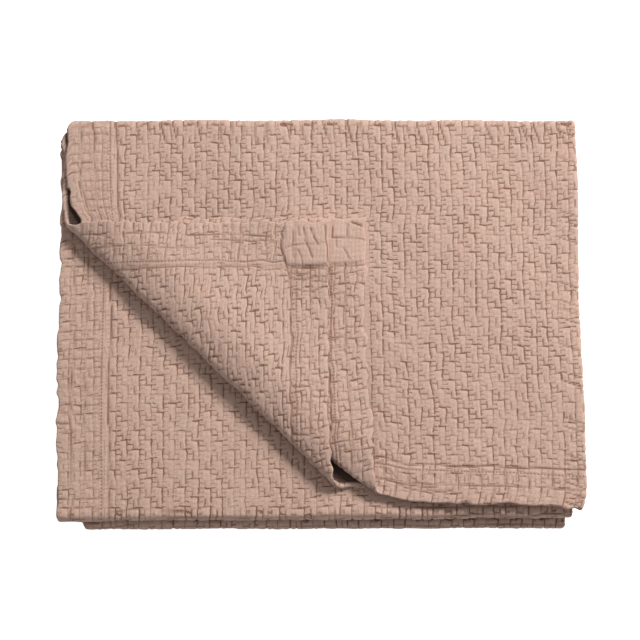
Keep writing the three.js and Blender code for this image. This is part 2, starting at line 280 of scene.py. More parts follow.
def across_at(edges, across):
    """Place across the doubled sheet: x, lift off the pair's middle, facing and side distance."""
    upper_left, lower_left, right = edges
    turned = np.clip((across - WIDTH) / HALF_PAIR, 0, math.pi)
    upper = across <= WIDTH
    lower = across >= WIDTH + SIDE_ARC
    x = right + HALF_PAIR * np.sin(turned)
    x = np.where(upper, mix(upper_left, right, across / WIDTH), x)
    x = np.where(lower, mix(lower_left, right, (ACROSS - across) / WIDTH), x)
    face_x = np.where(upper | lower, 0.0, np.sin(turned))
    face_lift = np.where(upper, 1.0, np.where(lower, -1.0, np.cos(turned)))
    lift = HALF_PAIR * face_lift
    side = np.where(upper, x - upper_left, np.where(lower, x - lower_left, WIDTH))
    return x, lift, face_x, face_lift, side


def hem_y(lift, x):
    return np.where(lift > 0, follow(FIRST_HEM, x, "upper"), follow(FIRST_HEM, x, "lower"))


def bend_line(upper, on):
    """Distance of the bend's line from the middle, at places on along the diagonal."""
    drift = np.clip((on - LAG["from"]) / LAG["over"], 0, 1)
    ripple = BEND_RIPPLE["high"] * soft_noise(on / BEND_RIPPLE["long"], 5.0, BEND_RIPPLE["seed"])
    start = follow(BENDS, on, "start") + ripple
    return np.where(upper, start - LAG["most"] * drift * drift, start)


def bend_of(upper, on):
    """Lengths and radii of one layer's bend: its edge, its swell, its slope and its foot."""
    edge = follow(BENDS, on, "radius") + np.where(upper, 0, PITCH)
    rest = np.where(upper, PITCH, 3 * PITCH)
    top = edge * (1 + math.cos(RISE)) + BULGE * (math.cos(FALL) - math.cos(RISE))
    slope = (top - FOOT * (1 - math.cos(FALL)) - rest) / math.sin(FALL)
    return [
        (edge * (math.pi - RISE), edge),
        (BULGE * (RISE + FALL), BULGE),
        (slope, None),
        (FOOT * FALL, -FOOT),
    ]


def over_bend(bend, past, inside):
    """Where a point lies that was past the bend's line, inside being towards its middle."""
    out, up, heading, start = 0 * past, 0 * past, 0 * past, 0 * past
    for length, radius in bend:
        walked = np.clip(past - start, 0, length)
        start = start + length
        if radius is None:
            out = out + walked * np.cos(heading)
            up = up + walked * np.sin(heading)
            continue
        turned = heading + walked / radius
        out = out + radius * (np.sin(turned) - np.sin(heading))
        up = up + radius * (np.cos(heading) - np.cos(turned))
        heading = turned
    out = out - np.maximum(0, past - start)
    return out - inside * np.sin(heading), up + inside * np.cos(heading)


def top_row(along, across, offset):
    """A row of the top panel, its corner turned where it lies past the bend's line."""
    share = along / PANEL
    x, lift, face_x, face_lift, side = across_at(edges_of(0, share), across)
    past_bend = np.maximum(along - UPPER_EDGE["from"], 0)
    upper_in = UPPER_EDGE["in"] * np.exp(-past_bend / UPPER_EDGE["fades_over"])
    upper_in = upper_in * smooth(along, UPPER_EDGE["none_at"], UPPER_EDGE["full_at"])
    lower_in = LOWER_EDGE["in"] * smooth(PANEL - along, 0, LOWER_EDGE["over"])
    x = x + np.where(lift > 0, upper_in, lower_in) * (1 - smooth(side, 0, UPPER_EDGE["reach"]))
    hem = hem_y(lift, x)
    y = mix(hem, axis_of(1, x, lift), share)
    points = np.stack([x + offset * face_x, y, TOP_PANEL + lift + offset * face_lift], -1)
    out = -(x + y) / DIAGONAL
    on = (x - y) / DIAGONAL
    upper = lift > 0
    line = bend_line(upper, on)
    past = np.where(face_x == 0, out - line, -1.0)
    bent_out, bent_up = over_bend(bend_of(upper, on), np.maximum(past, 0), face_lift * offset)
    over = past > 0
    points[..., 0] = np.where(over, (on - line - bent_out) / DIAGONAL, points[..., 0])
    points[..., 1] = np.where(over, -(line + bent_out + on) / DIAGONAL, points[..., 1])
    points[..., 2] = np.where(over, TOP_PANEL + lift + bent_up, points[..., 2])
    return points, side, y - hem, past


def pair_row(place, y, z, face_y, face_z, offset):
    x, lift, face_x, face_lift, _side = place
    rise = lift + offset * face_lift
    return np.stack([x + offset * face_x, y + rise * face_y, z + rise * face_z], -1)


def under_row(along, across, offset):
    """A row past the top panel: round one of the folds, or across one of the under panels."""
    turn = 1 + int((along - PANEL) // (PANEL + END_ARC))
    turn = min(max(turn, 1), 4)
    into = along - PANEL * turn - END_ARC * (turn - 1)
    if into < END_ARC:
        turned = into / FOLD_RADIUS
        at_back = turn % 2 == 1
        place = across_at(edges_of(turn - 1, 1.0), across)
        sine, cosine = boxy(math.sin(turned)), boxy(math.cos(turned))
        outward = FOLD_RADIUS * sine * (1 if at_back else -1)
        centre = (panel_height(turn - 1) + panel_height(turn)) / 2
        y = axis_of(turn, place[0], place[1]) + outward
        z = centre + FOLD_RADIUS * cosine
        face_z = cosine * (1 if at_back else -1)
        points = pair_row(place, y, z, sine, face_z, offset)
        return points, place[4], np.full(len(across), PANEL)
    share = (into - END_ARC) / PANEL
    place = across_at(edges_of(turn, share), across)
    x, lift = place[0], place[1]
    y = mix(axis_of(turn, x, lift), axis_of(turn + 1, x, lift), share)
    face_z = 1.0 if turn % 2 == 0 else -1.0
    points = pair_row(place, y, panel_height(turn), 0.0, face_z, offset)
    end = TURNS[-1].y - y if turn == 4 else np.full(len(across), PANEL)
    return points, place[4], end


def any_row(along, across, offset):
    if np.min(along) <= PANEL:
        return top_row(along, across, offset)
    return under_row(along, across, offset)


def fold_centre(turn):
    """Place along the sheet where a back or front fold is half turned."""
    return PANEL * turn + END_ARC * (turn - 0.5)


# Where the hems' stitches run, in from the hem's edge
SIDE_THREAD = 52.5
END_THREAD = 38.0

# Creases along the hems. inside: how far in from the hem's edge
HemLine = namedtuple("HemLine", "name hem inside deep seed")
HEM_LINES = [
    HemLine("near line", "side", 16.5, 0.75, 1),
    HemLine("far line", "side", 33.0, 0.65, 2),
    HemLine("thread line", "side", SIDE_THREAD, 0.6, 3),
    HemLine("step of the turning", "side", 61.5, 0.95, 4),
    HemLine("near line", "end", 22.0, 0.65, 5),
    HemLine("thread line", "end", END_THREAD, 0.5, 6),
    HemLine("step of the turning", "end", 45.0, 0.95, 7),
]
HEM_WANDER = {"high": 1.8, "thread_share": 0.2}
DEEP_LINE = 0.8
DEEP_LINE_FADE = 0.4

# Short creases across a hem, from start to stop inside its edge. at: place along it, in repeats
HemRung = namedtuple("HemRung", "hem start stop at deep")
HEM_RUNGS = [
    HemRung("side", 0.5, 15.5, 0.0, 0.85),
    HemRung("side", 2.0, 13.0, 0.46, 0.5),
    HemRung("side", 17.0, 31.0, 0.5, 0.75),
    HemRung("side", 22.0, 33.0, 0.08, 0.5),
    HemRung("side", 33.5, 50.0, 0.06, 0.7),
    HemRung("side", 38.0, 51.0, 0.56, 0.5),
    HemRung("end", 0.5, 19.0, 0.0, 0.8),
    HemRung("end", 23.0, 43.0, 0.42, 0.75),
    HemRung("end", 6.0, 21.0, 0.6, 0.5),
    HemRung("end", 26.0, 40.0, 0.9, 0.45),
]
RUNG_WANDER = 0.05

# Creases that stand alone, in plan: where the hems cross on the turned corner, and the
# wrinkles that the turn leaves in the first hem
Crease = namedtuple("Crease", "leaf deep points")
CREASES = [
    Crease("lower", 1.0, [(-45, 104), (-48, 96), (-50, 87), (-48, 76), (-45, 67), (-42, 56)]),
    Crease("lower", 0.6, [(-42, 55), (-23, 56), (-3, 56), (8, 59)]),
    Crease("lower", 0.8, [(4, 106), (6, 98), (6, 85), (7, 73), (8, 61)]),
    Crease("lower", 0.6, [(-35, 101), (-35, 82), (-34, 67)]),
    Crease("lower", 0.6, [(-27, 103), (-27, 94)]),
    Crease("lower", 0.8, [(-22, 103), (-20, 88), (-15, 78), (-11, 66)]),
    Crease("lower", 0.9, [(-14, 104), (-9, 91), (-4, 82)]),
    Crease("lower", 0.6, [(-28, 76), (-24, 67), (-23, 59)]),
    Crease("lower", 0.5, [(-47, 78), (-36, 81), (-19, 84), (-3, 84), (7, 85)]),
    Crease("lower", 0.8, [(-41, 54), (-39, 42), (-31, 40), (-3, 42), (9, 44)]),
    Crease("lower", 0.5, [(-17, 54), (-17, 43)]),
    Crease("lower", 0.5, [(-3, 54), (-3, 43)]),
    Crease("lower", 0.7, [(-33, 27), (-17, 25), (2, 29)]),
    Crease("lower", 0.7, [(-131, 89), (-98, 88), (-59, 89)]),
    Crease("flap", 0.9, [(13, 107), (13, 92), (20, 92)]),
    Crease("flap", 0.7, [(31, 111), (31, 93)]),
    Crease("flap", 1.1, [(35, 113), (50, 107)]),
    Crease("flap", 0.6, [(20, 93), (37, 92), (51, 90)]),
    Crease("flap", 0.5, [(18, 90), (19, 80)]),
    Crease("flap", 0.7, [(27, 79), (33, 66)]),
    # These two long creases run beside the end edge of the turned lower layer: a shallow dent, with
    # painted shade that stands for the dark gap between the layers
    Crease("flap", 0.8, [(10, 55), (11, 0), (9, -60)]),
    Crease("flap", 1.1, [(9, -60), (10, -100), (12, -146)]),
    Crease("top", 0.9, [(63, -200), (74, -201), (92, -207), (112, -210), (136, -211)]),
    Crease("top", 0.8, [(98, -212), (118, -216), (128, -215), (143, -218), (153, -215)]),
    Crease("top", 0.6, [(78, -188), (90, -202)]),
]
CREASE_WANDER = 1.2


def thin(distance, width):
    return 1 - smooth(np.abs(distance), 0, width)


def within(distance, half, width):
    return 1 - smooth(np.abs(distance), half - width / 2, half + width / 2)


def to_nearest(value):
    return value - np.round(value)


def weave_valley(u, v, across_share, down_share, width):
    """How deep the weave's creases are, u and v counting repeats to the right and down."""
    valley = np.zeros(u.shape)
    for mark in WEAVE:
        row_place = 2 * (v - mark.y / REPEAT_Y)
        down = to_nearest(row_place) / 2 * REPEAT_Y
        right = to_nearest(u - mark.x / REPEAT_X - np.round(row_place) / 2) * REPEAT_X
        if mark.way == "across":
            found = within(right, mark.long, width) * thin(down, width) * across_share
        else:
            found = within(down, mark.long, width) * thin(right, width) * down_share
        valley = np.maximum(valley, mark.deep * found)
    return valley


def hem_valley(side, end, along_side, along_end, width):
    """How deep the creases of both hems are."""
    valley = np.zeros(side.shape)
    for line in HEM_LINES:
        inside, place = (side, along_side) if line.hem == "side" else (end, along_end)
        high = HEM_WANDER["high"]
        if line.name == "thread line":
            high = high * HEM_WANDER["thread_share"]
        wander = high * soft_noise(place * 0.9, line.seed + 0 * place, 20 + line.seed)
        share = changed(LINE_STRENGTH, soft_noise(place * 1.7, 3.0 + 0 * place, line.seed))
        if line.deep > DEEP_LINE:
            share = mix(1.0, share, DEEP_LINE_FADE)
        valley = np.maximum(valley, line.deep * share * thin(inside - line.inside - wander, width))
    for rung in HEM_RUNGS:
        inside, place = (side, along_side) if rung.hem == "side" else (end, along_end)
        repeat = REPEAT_Y if rung.hem == "side" else REPEAT_X
        middle, half = (rung.start + rung.stop) / 2, (rung.stop - rung.start) / 2
        wander = RUNG_WANDER * soft_noise(place * 0.7, inside / 14, 31)
        off = to_nearest(place - rung.at - wander) * repeat
        share = changed(RUNG_STRENGTH, soft_noise(np.round(place - rung.at) * 1.7, inside / 40, 32))
        found = within(inside - middle, half, width) * thin(off, width)
        valley = np.maximum(valley, rung.deep * share * found)
    return valley


def distance_to(points, x, y):
    """Distance in plan to a line through points."""
    nearest = np.full(x.shape, 1e9)
    for (ax, ay), (bx, by) in zip(points, points[1:]):
        length = (bx - ax) ** 2 + (by - ay) ** 2
        share = np.clip(((x - ax) * (bx - ax) + (y - ay) * (by - ay)) / length, 0, 1)
        off_x = x - ax - share * (bx - ax)
        off_y = y - ay - share * (by - ay)
        nearest = np.minimum(nearest, np.hypot(off_x, off_y))
    return nearest


def lone_valley(leaf, x, y, width):
    valley = np.zeros(x.shape)
    for crease in CREASES:
        if crease.leaf == leaf:
            wander = CREASE_WANDER * soft_noise(x / 9, y / 9, 41)
            off = distance_to(crease.points, x + wander, y - wander)
            valley = np.maximum(valley, crease.deep * thin(off, width))
    return valley


# Puckers that run into the doubling fold and the back folds. every: how far apart they are
SIDE_PUCKER = {"lean": 0.34, "every": 11.0, "reach": 22, "reach_change": 9, "soft": 6}
BACK_PUCKER = {"lean": 0.2, "every": REPEAT_X / 2, "reach": 24, "reach_change": 10, "soft": 8, "wander": 3}

# Long creases beside the front folds: places along the sheet from where the fold is half turned
NOSE_CREASES = (-9.5, -3.5, 2.0, 7.5)
NOSE_WANDER = 2.6
NOSE_MORE = {"share": 0.55, "from": 230, "to": 380}


def pucker_rows(lean, beyond, settings, reach_noise, width):
    """Creases a step apart that reach a little way beyond a fold."""
    off = to_nearest(lean / settings["every"]) * settings["every"]
    reach = settings["reach"] + settings["reach_change"] * reach_noise
    return within(beyond, reach, settings["soft"]) * thin(off, width)


def fold_puckers(across, along, centres, width):
    """Slanted creases that run into the doubling fold, and into the back folds."""
    beside = across - WIDTH - SIDE_ARC / 2
    lean = along + SIDE_PUCKER["lean"] * beside
    row = np.round(lean / SIDE_PUCKER["every"])
    share = changed(SIDE_PUCKER_STRENGTH, soft_noise(row * 1.3, along / 50, 51))
    reach_noise = soft_noise(row * 2.1, across * 0, 52)
    puckers = share * pucker_rows(lean, beside, SIDE_PUCKER, reach_noise, width)
    for centre in centres:
        behind = along - centre
        wander = BACK_PUCKER["wander"] * soft_noise(across / 40, along / 40, 53)
        lean = across + BACK_PUCKER["lean"] * behind + wander
        row = np.round(lean / BACK_PUCKER["every"])
        share = changed(BACK_PUCKER_STRENGTH, soft_noise(row * 1.9, centre * 0.37, 54))
        reach_noise = soft_noise(row * 2.3, across * 0, 55)
        found = pucker_rows(lean, behind, BACK_PUCKER, reach_noise, width)
        puckers = np.maximum(puckers, share * found)
    return puckers


def nose_puckers(across, along, centres, width):
    """Long soft creases beside the front folds, in line with them, more of them to the right."""
    puckers = np.zeros(across.shape)
    to_right = NOSE_MORE["share"] * smooth(ACROSS - across, NOSE_MORE["from"], NOSE_MORE["to"])
    for number, centre in enumerate(centres):
        for step, inside in enumerate(NOSE_CREASES):
            wander = NOSE_WANDER * soft_noise(across / 38, number * 7.3 + step, 61)
            noise = soft_noise(across / 34, number * 5.1 + step * 2.7, 62)
            share = changed(NOSE_STRENGTH, noise, to_right)
            found = thin(along - centre - inside - wander, width)
            puckers = np.maximum(puckers, share * found)
    return puckers


# Half widths of the soft creases in the mesh and of the narrow ones in their shade
VALLEY = 2.3
NARROW = 1.5

# Relief of the puffs, as shares of its height
DEEPEST = 1.1
PUFF_TOP = 0.42
AT_RIM = 0.7
RIM_WIDTH = 5

# How much calmer the weave is on the hems, beside their seam and on the raised square
HEM_CALM = {"top": 0.45, "others": 0.2, "end": 0.1, "seam": 0.6}
CALM_STOPS = {"side": (-9, 1), "end": (-5, 2)}
CALM_SEAM = {"inside": 3, "width": 9}
CROSSING_WEAVE = 0.12

NEAR_HEMS = 70
STITCH = 4.1
SEAM_REACH = 4
FAR_FROM_HEMS = 1000

# The second vector of a face holds the down creases' share, the narrow creases' depth and the painted
# shade mask
Face = namedtuple("Face", "height weave finish hems")


def weave_strengths(leaf, sheet):
    """How strong the weave's creases across and down are at places of one face."""
    across, along = sheet["across"], sheet["along"]
    side, end = sheet["side"], sheet["end"]
    in_side = 1 - smooth(side - SIDE_HEM, *CALM_STOPS["side"])
    in_end = 1 - smooth(end - END_HEM, *CALM_STOPS["end"])
    calm = HEM_CALM["top"] if leaf == "top" else HEM_CALM["others"]
    by_seam = thin(side - SIDE_HEM + CALM_SEAM["inside"], CALM_SEAM["width"]) * (end > END_HEM)
    quiet = (1 - calm * in_side) * (1 - HEM_CALM["end"] * in_end) * (1 - HEM_CALM["seam"] * by_seam)
    strengths = []
    for patches in (ACROSS_STRENGTH, DOWN_STRENGTH):
        strength = changed(WEAVE_STRENGTH, uneven(patches, across, along))
        strengths.append(strength * sheet["woven"] * quiet)
    return strengths


def face_look(leaf, u, v, sheet, relief, painted_shade, puckers):
    """Height of one face of the sheet, and what its cloth has to know for its weave, creases, painted
    shade and hems.
    """
    across, along = sheet["across"], sheet["along"]
    side, end = sheet["side"], sheet["end"]
    u = u + uneven(DRIFT_RIGHT, across, along)
    v = v + uneven(DRIFT_DOWN, across, along)
    across_share, down_share = weave_strengths(leaf, sheet)
    bow = CROSSING["bow"] * np.sin(math.pi * np.clip(side / SIDE_HEM, 0, 1))
    past_end = end - CROSSING["end"] - bow
    past_side = side - CROSSING["side"]
    crossing = (1 - smooth(past_side, 0, CROSSING["soft"])) * (1 - smooth(past_end, 0, CROSSING["soft"]))
    own = CROSSING_WEAVE + (1 - CROSSING_WEAVE) * (1 - crossing) if leaf in ("lower", "flap") else 1.0
    across_share = across_share * own
    down_share = down_share * own
    close = np.minimum(side, end) < NEAR_HEMS

    def long_creases(side, end, width):
        hems = hem_valley(side, end, along / REPEAT_Y, across / REPEAT_X, width) * own * close
        lone = lone_valley(leaf, sheet["x"], sheet["y"], width)
        return np.maximum(np.maximum(hems, lone), puckers(across, along, width))

    weave = weave_valley(u, v, across_share, down_share, VALLEY)
    valley = np.minimum(np.maximum(weave, long_creases(side, end, VALLEY)), DEEPEST)
    rim = smooth(np.minimum(side, end), 0, RIM_WIDTH)
    puffs = PUFF_TOP - valley + uneven(SWELLINGS, across, along)
    height = relief * puffs * (AT_RIM + (1 - AT_RIM) * rim)
    if leaf == "lower":
        height = height + CROSSING["rise"] * crossing
    seam = np.where(np.abs(end - END_THREAD) < SEAM_REACH, across, along)
    # The raised square has no stitches and no narrow hem creases, so it counts as far from them
    away = FAR_FROM_HEMS * (crossing > 0.1)
    side = side + away
    end = end + away
    narrow = np.minimum(long_creases(side, end, NARROW), 1)
    return Face(
        height,
        np.stack([u, v, across_share], -1),
        np.stack([down_share, narrow, painted_shade], -1),
        np.stack([side, end, seam], -1),
    )


# Mesh steps round the rim, and cells through the folds and in the blocks of unseen cloth
RIM_STEPS = [0.0, 0.45, 1.2]
ARC_ROWS = 10
ARC_COLUMNS = 6
BLOCK = 8
FOLD_BLOCK = 2


def edge_steps(stop, step):
    """Places from an edge inwards: close together round the rim, then one mesh step apart."""
    count = int((stop - 0.3 * step) / step)
    return RIM_STEPS + [step * number for number in range(1, count + 1)]


def arc_steps(start, length, count):
    return [start + length * number / count for number in range(count)]


# Stands for a place that has no bend before it
FAR_BEFORE = -1000.0


def measured(alongs, acrosses):
    """The sheet's places and distances on a grid, with the plan of its middle surface."""
    points, sides, ends, pasts = [], [], [], []
    for along in alongs:
        found = any_row(along, acrosses, np.zeros(len(acrosses)))
        points.append(found[0])
        sides.append(found[1])
        ends.append(found[2])
        pasts.append(found[3] if len(found) > 3 else np.full(len(acrosses), FAR_BEFORE))
    points = np.array(points)
    across, along = np.meshgrid(acrosses, alongs)
    return {
        "across": across, "along": along, "side": np.array(sides), "end": np.array(ends),
        "past": np.array(pasts), "x": points[..., 0], "y": points[..., 1],
    }


ROUND_RIM = {"radius": 1.7, "least": 0.32}


def rounded(side, end):
    """Share of the thickness left at a place close to an edge, which is round."""
    near = np.clip(np.minimum(side, end) / ROUND_RIM["radius"], 0, 1)
    return np.maximum(ROUND_RIM["least"], np.sqrt(1 - (1 - near) ** 2))


def rippled(along, across):
    """Places of one row of the sheet, its free edges drawn in and out in small waves."""
    high, reach = EDGE_RIPPLE["high"], EDGE_RIPPLE["reach"]
    near_side = np.maximum(0, 1 - across / reach)
    far_side = np.maximum(0, 1 - (ACROSS - across) / reach)
    of_layer = 7.0 * (across > WIDTH)
    wave = high * soft_noise(along / EDGE_RIPPLE["side_long"], of_layer, EDGE_RIPPLE["side_seed"])
    if along < reach:
        ripple = high * soft_noise(across / EDGE_RIPPLE["end_long"], 3.0, EDGE_RIPPLE["end_seed"])
        along = along + ripple * (1 - along / reach)
    return along, across + wave * (near_side - far_side)


def placed(alongs, acrosses, offsets):
    """Points of one face of the cloth, its offsets measured from the sheet's middle."""
    points = [any_row(*rippled(along, acrosses), offset)[0] for along, offset in zip(alongs, offsets)]
    points = settle(np.array(points))
    points[..., 0] += TO_MIDDLE[0]
    points[..., 1] += TO_MIDDLE[1]
    return points * MM


def breaks(count, folds):
    """Borders of the blocks that unseen cloth is made in, smaller through the folds."""
    borders = [0]
    while borders[-1] < count - 1:
        last = borders[-1]
        inside = any(start <= last + FOLD_BLOCK - 1 and last < stop for start, stop in folds)
        size = FOLD_BLOCK if inside else BLOCK
        ahead = [start for start, stop in folds if last < start < last + size]
        borders.append(min([last + size, count - 1] + ahead))
    return borders


def block_faces(fine, row_breaks, column_breaks, number_of):
    """Faces of one side of the sheet: a quad a cell where fine, and else one face a block."""
    whole = np.zeros((len(row_breaks) - 1, len(column_breaks) - 1), bool)
    for i, (r0, r1) in enumerate(zip(row_breaks, row_breaks[1:])):
        for j, (c0, c1) in enumerate(zip(column_breaks, column_breaks[1:])):
            whole[i, j] = not fine[r0:r1, c0:c1].any()
    faces = []

    def is_whole(i, j):
        return 0 <= i < whole.shape[0] and 0 <= j < whole.shape[1] and whole[i, j]

    for i, (r0, r1) in enumerate(zip(row_breaks, row_breaks[1:])):
        for j, (c0, c1) in enumerate(zip(column_breaks, column_breaks[1:])):
            if not whole[i, j]:
                for r in range(r0, r1):
                    for c in range(c0, c1):
                        corners = ((r, c), (r, c + 1), (r + 1, c + 1), (r + 1, c))
                        faces.append(tuple(number_of(*corner) for corner in corners))
                continue
            low = [(r0, c) for c in ((c0,) if is_whole(i - 1, j) else range(c0, c1))]
            right = [(r, c1) for r in ((r0,) if is_whole(i, j + 1) else range(r0, r1))]
            high = [(r1, c) for c in ((c1,) if is_whole(i + 1, j) else range(c1, c0, -1))]
            left = [(r, c0) for r in ((r1,) if is_whole(i, j - 1) else range(r1, r0, -1))]
            faces.append(tuple(number_of(r, c) for r, c in low + right + high + left))
    return faces


def border_of(rows, columns):
    """The grid's outermost places, once round and back to the first."""
    border = [(0, c) for c in range(columns)]
    border += [(r, columns - 1) for r in range(1, rows)]
    border += [(rows - 1, c) for c in range(columns - 2, -1, -1)]
    return border + [(r, 0) for r in range(rows - 2, -1, -1)]


def closed_mesh(name, grids, masks, row_breaks, column_breaks, looks):
    """A closed body from the two faces of a grid of cloth and the rim round its edge."""
    outer, inner = grids
    fine_outer, fine_inner = masks
    rows, columns = outer.shape[:2]
    count = rows * columns
    faces = block_faces(fine_outer, row_breaks, column_breaks, lambda r, c: r * columns + c)
    under = block_faces(fine_inner, row_breaks, column_breaks, lambda r, c: count + r * columns + c)
    faces += [tuple(reversed(face)) for face in under]
    border = border_of(rows, columns)
    for (r0, c0), (r1, c1) in zip(border, border[1:]):
        a, b = r0 * columns + c0, r1 * columns + c1
        faces.append((b, a, a + count, b + count))
    points = np.concatenate([outer.reshape(-1, 3), inner.reshape(-1, 3)])
    used = np.zeros(len(points), bool)
    for face in faces:
        used[list(face)] = True
    new_number = np.cumsum(used) - 1
    mesh = bpy.data.meshes.new(name)
    renumbered = [[int(new_number[k]) for k in face] for face in faces]
    mesh.from_pydata(points[used].tolist(), [], renumbered)
    for key in ("weave", "finish", "hems"):
        values = np.concatenate([look[key].reshape(-1, 3) for look in looks])
        layer = mesh.attributes.new(key, "FLOAT_VECTOR", "POINT")
        layer.data.foreach_set("vector", values[used].astype(np.float32).ravel())
    mesh.shade_smooth()
    mesh.update()
    return mesh


def near_line(condition):
    """Cells of the grid at whose corners a condition holds."""
    return condition[:-1, :-1] | condition[1:, :-1] | condition[:-1, 1:] | condition[1:, 1:]


def corners_of(cells):
    """Points of the grid at the corners of chosen cells."""
    found = np.zeros((cells.shape[0] + 1, cells.shape[1] + 1), bool)
    for row in (0, 1):
        for column in (0, 1):
            found[row:row + cells.shape[0], column:column + cells.shape[1]] |= cells
    return found


# Where the leaves end out of sight, past the top back fold and past the doubling fold
LEAF_END = fold_centre(1) + END_ARC / 2 + 14
LEAF_SIDE = WIDTH + SIDE_ARC + 24
LEAF_GAP = 0.4
STEPS_PAST_SIDE = (0, 5, 13)
STEPS_PAST_END = (0, 6)


def upper_alongs():
    steps = edge_steps(PANEL, STEP_Y) + arc_steps(PANEL, END_ARC, ARC_ROWS)
    return steps + [PANEL + END_ARC + step for step in STEPS_PAST_END] + [LEAF_END]


def under_alongs():
    steps = []
    for turn in range(1, 5):
        start = PANEL * turn + END_ARC * turn
        first = LEAF_END + LEAF_GAP if turn == 1 else start
        stop = start + PANEL
        count = int((stop - first) / UNDER_STEP_Y - 0.3)
        steps += [first] + [stop - UNDER_STEP_Y * number for number in range(count, 0, -1)]
        if turn < 4:
            steps += arc_steps(stop, END_ARC, ARC_ROWS)
    return steps + [stop - step for step in reversed(RIM_STEPS)]


def all_acrosses():
    left = edge_steps(WIDTH, UNDER_STEP_X)
    arc = arc_steps(WIDTH, SIDE_ARC, ARC_COLUMNS)
    return left + arc + [ACROSS - step for step in reversed(left)]


def no_puckers(across, _along, _width):
    return np.zeros(across.shape)


def nowhere(_face, sheet):
    return np.zeros(sheet["x"].shape)


def fully_woven(sheet):
    return np.ones(sheet["x"].shape)


# What makes one leaf of the sheet differ from the others. turns: the folds that it goes through
Leaf = namedtuple(
    "Leaf",
    "name alongs acrosses turns weave_of fine_of hidden_of woven_of puckers",
    defaults=(nowhere, fully_woven, no_puckers),
)


def leaf_object(leaf, settings):
    """One closed leaf of the sheet as a piece that stands for the solid."""
    alongs, acrosses = leaf.alongs, np.array(leaf.acrosses)
    sheet = measured(alongs, acrosses)
    sheet["woven"] = leaf.woven_of(sheet)
    half = half_thickness(sheet["side"], sheet["end"]) * rounded(sheet["side"], sheet["end"])
    relief = settings.relief / MM
    looks, grids, masks = [], [], []
    for face in ("outer", "inner"):
        u, v, kind = leaf.weave_of(face, sheet)
        fine = leaf.fine_of(face, sheet)
        painted_shade = leaf.hidden_of(face, sheet)
        shown = corners_of(fine)
        part = {key: values[shown] for key, values in sheet.items()}
        found = face_look(kind, u[shown], v[shown], part, relief, painted_shade[shown], leaf.puckers)
        height = np.zeros(u.shape)
        height[shown] = found.height
        look = {key: np.zeros(u.shape + (3,)) for key in ("weave", "finish", "hems")}
        look["weave"][..., 0] = u
        look["weave"][..., 1] = v
        # Third value of this vector: the painted shade mask
        look["finish"][..., 2] = painted_shade
        for key, values in look.items():
            values[shown] = getattr(found, key)
        sign = 1 if face == "outer" else -1
        grids.append(placed(alongs, acrosses, sign * np.maximum(half + height, THINNEST)))
        looks.append(look)
        masks.append(fine)
    folds = []
    for turn in leaf.turns:
        start = int(np.searchsorted(alongs, fold_centre(turn) - END_ARC / 2 - 0.1))
        folds.append((start, start + ARC_ROWS + 1))
    row_breaks = breaks(len(alongs), folds)
    arc_start = int(np.searchsorted(acrosses, WIDTH - 0.1))
    arc_stop = int(np.searchsorted(acrosses, WIDTH + SIDE_ARC + 0.1))
    column_breaks = breaks(len(acrosses), [(arc_start, arc_stop)])
    mesh = closed_mesh(leaf.name, grids, masks, row_breaks, column_breaks, looks)
    piece = bpy.data.objects.new(leaf.name, mesh)
    bpy.context.scene.collection.objects.link(piece)
    mesh.materials.append(puffed_cotton(settings))
    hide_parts(NODE)
    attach(piece, "root")
    return piece


# Parts of the sheet that can be seen, and so are made in full: how far in from an edge, and how
# far under the turned corner or round a fold
SEEN_RIM = {"upper": 9, "lower": 9, "lower_inside": 14, "under": 3}
SEEN_UNDER_CORNER = {"edge": 16, "past": 20, "rim": 14}
SEEN_FLAP = {"past": -8, "end": 90}
SEEN_ROLL = -14
SEEN_UNDER = {"out": 118, "x": -303, "doubling": 7, "front": 15, "back": 13}
# Painted shade on the inner face of the lower leaf: none at its edge, and full from this far in, where the
# upper leaf covers it
INSIDE_PAINTED_SHADE = (3.5, 7)
NOSE_WEAVE = {"more": 0.25, "from": 10, "to": 20}


def make_upper_leaf(settings):
    """The top panel's upper layer, with the doubling fold and the top back fold."""
    acrosses = edge_steps(WIDTH, STEP_X) + arc_steps(WIDTH, SIDE_ARC, ARC_COLUMNS)
    acrosses += [WIDTH + SIDE_ARC + step for step in STEPS_PAST_SIDE] + [LEAF_SIDE]
    alongs = upper_alongs()

    def weave_of(face, sheet):
        if face == "outer":
            return sheet["across"] / REPEAT_X, -sheet["along"] / REPEAT_Y, "top"
        return -sheet["along"] / REPEAT_Y, sheet["across"] / REPEAT_X, "flap"

    def fine_of(face, sheet):
        margin = np.minimum(sheet["side"], sheet["end"])
        past = sheet["past"]
        if face == "inner":
            flap = (past > SEEN_FLAP["past"]) & (sheet["end"] < SEEN_FLAP["end"])
            return near_line(flap | (margin < SEEN_RIM["upper"]))
        turned = past > 0
        top = sheet["y"][turned].max() - SEEN_UNDER_CORNER["edge"]
        right = sheet["x"][turned].max() - SEEN_UNDER_CORNER["edge"]
        beneath = ~turned & (sheet["y"] < top) & (sheet["x"] < right)
        beneath |= (past > SEEN_UNDER_CORNER["past"]) & (margin > SEEN_UNDER_CORNER["rim"])
        return near_line(~beneath)

    def puckers(across, along, width):
        return fold_puckers(across, along, [fold_centre(1)], width)

    leaf = Leaf("upper_leaf", alongs, acrosses, [1], weave_of, fine_of, puckers=puckers)
    return leaf_object(leaf, settings)


